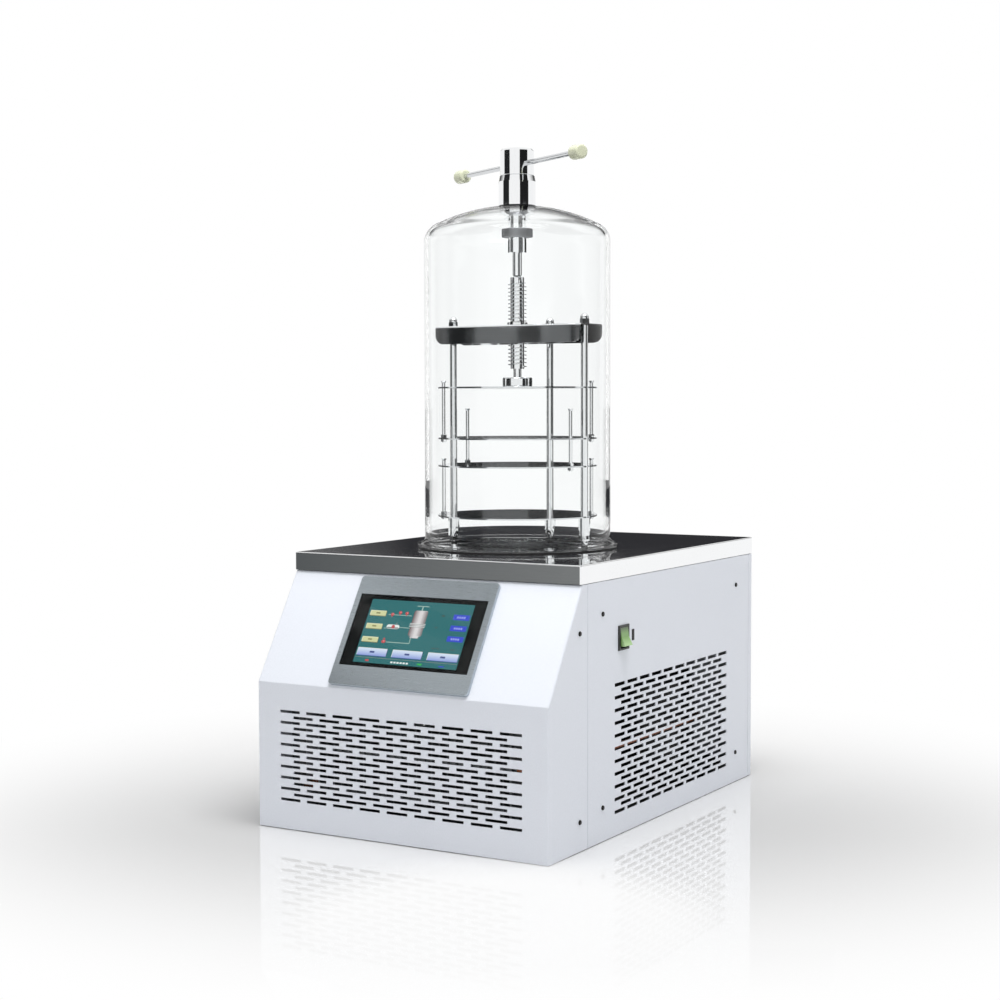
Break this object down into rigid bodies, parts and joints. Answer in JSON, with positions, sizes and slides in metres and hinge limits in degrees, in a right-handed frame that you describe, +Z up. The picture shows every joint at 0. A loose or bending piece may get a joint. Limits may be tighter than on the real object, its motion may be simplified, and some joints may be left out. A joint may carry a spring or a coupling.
{
  "type": "freeze dryer",
  "caption": "Bench-top freeze dryer: slotted metal casing with a sloping touch screen, polished worktop, and a clear bell jar over a rack of shelves with a hand-turned stoppering press.",
  "frame": {"origin": "on the bench, midway along the width and along the depth with the vacuum port", "axes": "+X to the right seen from the front, +Y to the back, +Z up"},
  "size_m": [0.4606, 0.6798, 0.9348],
  "materials": {
    "casing_paint": "satin powder coat",
    "worktop_steel": "mirror polished",
    "frame_zinc": "zinc plated",
    "screw_black": "black oxide",
    "bezel_silver": "satin",
    "screen_glass": "gloss",
    "display": "gloss",
    "switch_black": "satin",
    "rocker_green": "translucent gloss",
    "plug_black": "matt",
    "stainless": "brushed",
    "polished_steel": "polished",
    "knob_cream": "gloss",
    "jar_clear": "clear",
    "rubber_black": "matt",
    "foam": "matt",
    "copper": "satin",
    "machine_black": "semi-gloss",
    "fins": "satin",
    "fan_plastic": "satin",
    "control_grey": "satin"
  },
  "bodies": {
    "casing": {"base_pan": "frame_zinc", "front_cover": "casing_paint", "side_panel_right": "casing_paint", "side_panel_left": "casing_paint", "rear_panel": "casing_paint", "cover_screws": "screw_black", "worktop": "worktop_steel", "screen_bezel": "bezel_silver", "screen_glass": "screen_glass", "display_module": "display", "switch_housing": "switch_black", "blanking_plug": "plug_black", "cold_trap": "stainless", "cooling_jacket": "copper", "trap_foam": "foam", "vacuum_port": "stainless", "drain_elbow": "stainless", "drain_pipe": "stainless", "drain_cap": "rubber_black", "compressor": "machine_black", "compressor_grommets": "rubber_black", "condenser": "fins", "fan_shroud": "frame_zinc", "fan_motor": "machine_black", "control_box": "control_grey", "suction_pipe": "copper", "liquid_pipe": "copper", "discharge_pipe": "copper", "power_inlet": "plug_black", "bell_jar": "jar_clear", "jar_seal": "rubber_black", "gland_washer": "rubber_black", "gland_body": "polished_steel", "shaft_seal": "rubber_black", "gland_cone_nut": "polished_steel", "gland_lock_nut": "polished_steel", "press_bush": "polished_steel", "bridge_plate": "stainless", "cap_nuts": "polished_steel", "columns": "polished_steel", "column_tips": "rubber_black", "column_sleeves": "polished_steel", "shelf_4": "stainless", "links_lower": "polished_steel", "feet": "rubber_black", "posts": "frame_zinc", "cover_rails": "frame_zinc"},
    "power_rocker": {"power_rocker": "rocker_green"},
    "fan": {"fan_rotor": "fan_plastic"},
    "handle": {"handle_boss": "polished_steel", "handle_shaft": "polished_steel", "handle_bar": "polished_steel", "handle_knobs": "knob_cream"},
    "press_carriage": {"presser_foot": "stainless", "shelf_1": "stainless"},
    "spindle": {"press_spindle": "polished_steel"},
    "second_shelf": {"shelf_2": "stainless", "links_upper": "polished_steel"},
    "third_shelf": {"shelf_3": "stainless", "links_middle": "polished_steel"}
  },
  "joints": [
    {"name": "rocker_tilt", "type": "hinge", "parent": "casing", "child": "power_rocker", "pos_m": [0.225, -0.1328, 0.2631], "axis": [0, 1, 0], "range_deg": [0, 32]},
    {"name": "fan_spin", "type": "hinge", "parent": "casing", "child": "fan", "pos_m": [0, -0.252, 0.0775], "axis": [0, 1, 0], "continuous": true},
    {"name": "handle_turn", "type": "hinge", "parent": "casing", "child": "handle", "pos_m": [0, -0.021, 0.9128], "axis": [0, 0, -1], "range_deg": [0, 2700]},
    {"name": "press_travel", "type": "slide", "parent": "casing", "child": "press_carriage", "axis": [0, 0, -1], "range_m": [0, 0.0405]},
    {"name": "spindle_turn", "type": "hinge", "parent": "press_carriage", "child": "spindle", "pos_m": [0, -0.021, 0.69], "axis": [0, 0, -1], "range_deg": [0, 2700]},
    {"name": "second_shelf_travel", "type": "slide", "parent": "casing", "child": "second_shelf", "axis": [0, 0, -1], "range_m": [0, 0.02025]},
    {"name": "third_shelf_travel", "type": "slide", "parent": "casing", "child": "third_shelf", "axis": [0, 0, -1], "range_m": [0, 0.02025]}
  ],
  "couplings": [
    {"joint": "press_travel", "follows": "handle_turn", "m_per_rad": 0.00085943},
    {"joint": "spindle_turn", "follows": "handle_turn", "ratio": 1},
    {"joint": "second_shelf_travel", "follows": "handle_turn", "m_per_rad": 0.00042971},
    {"joint": "third_shelf_travel", "follows": "handle_turn", "m_per_rad": 0.00042971}
  ]
}
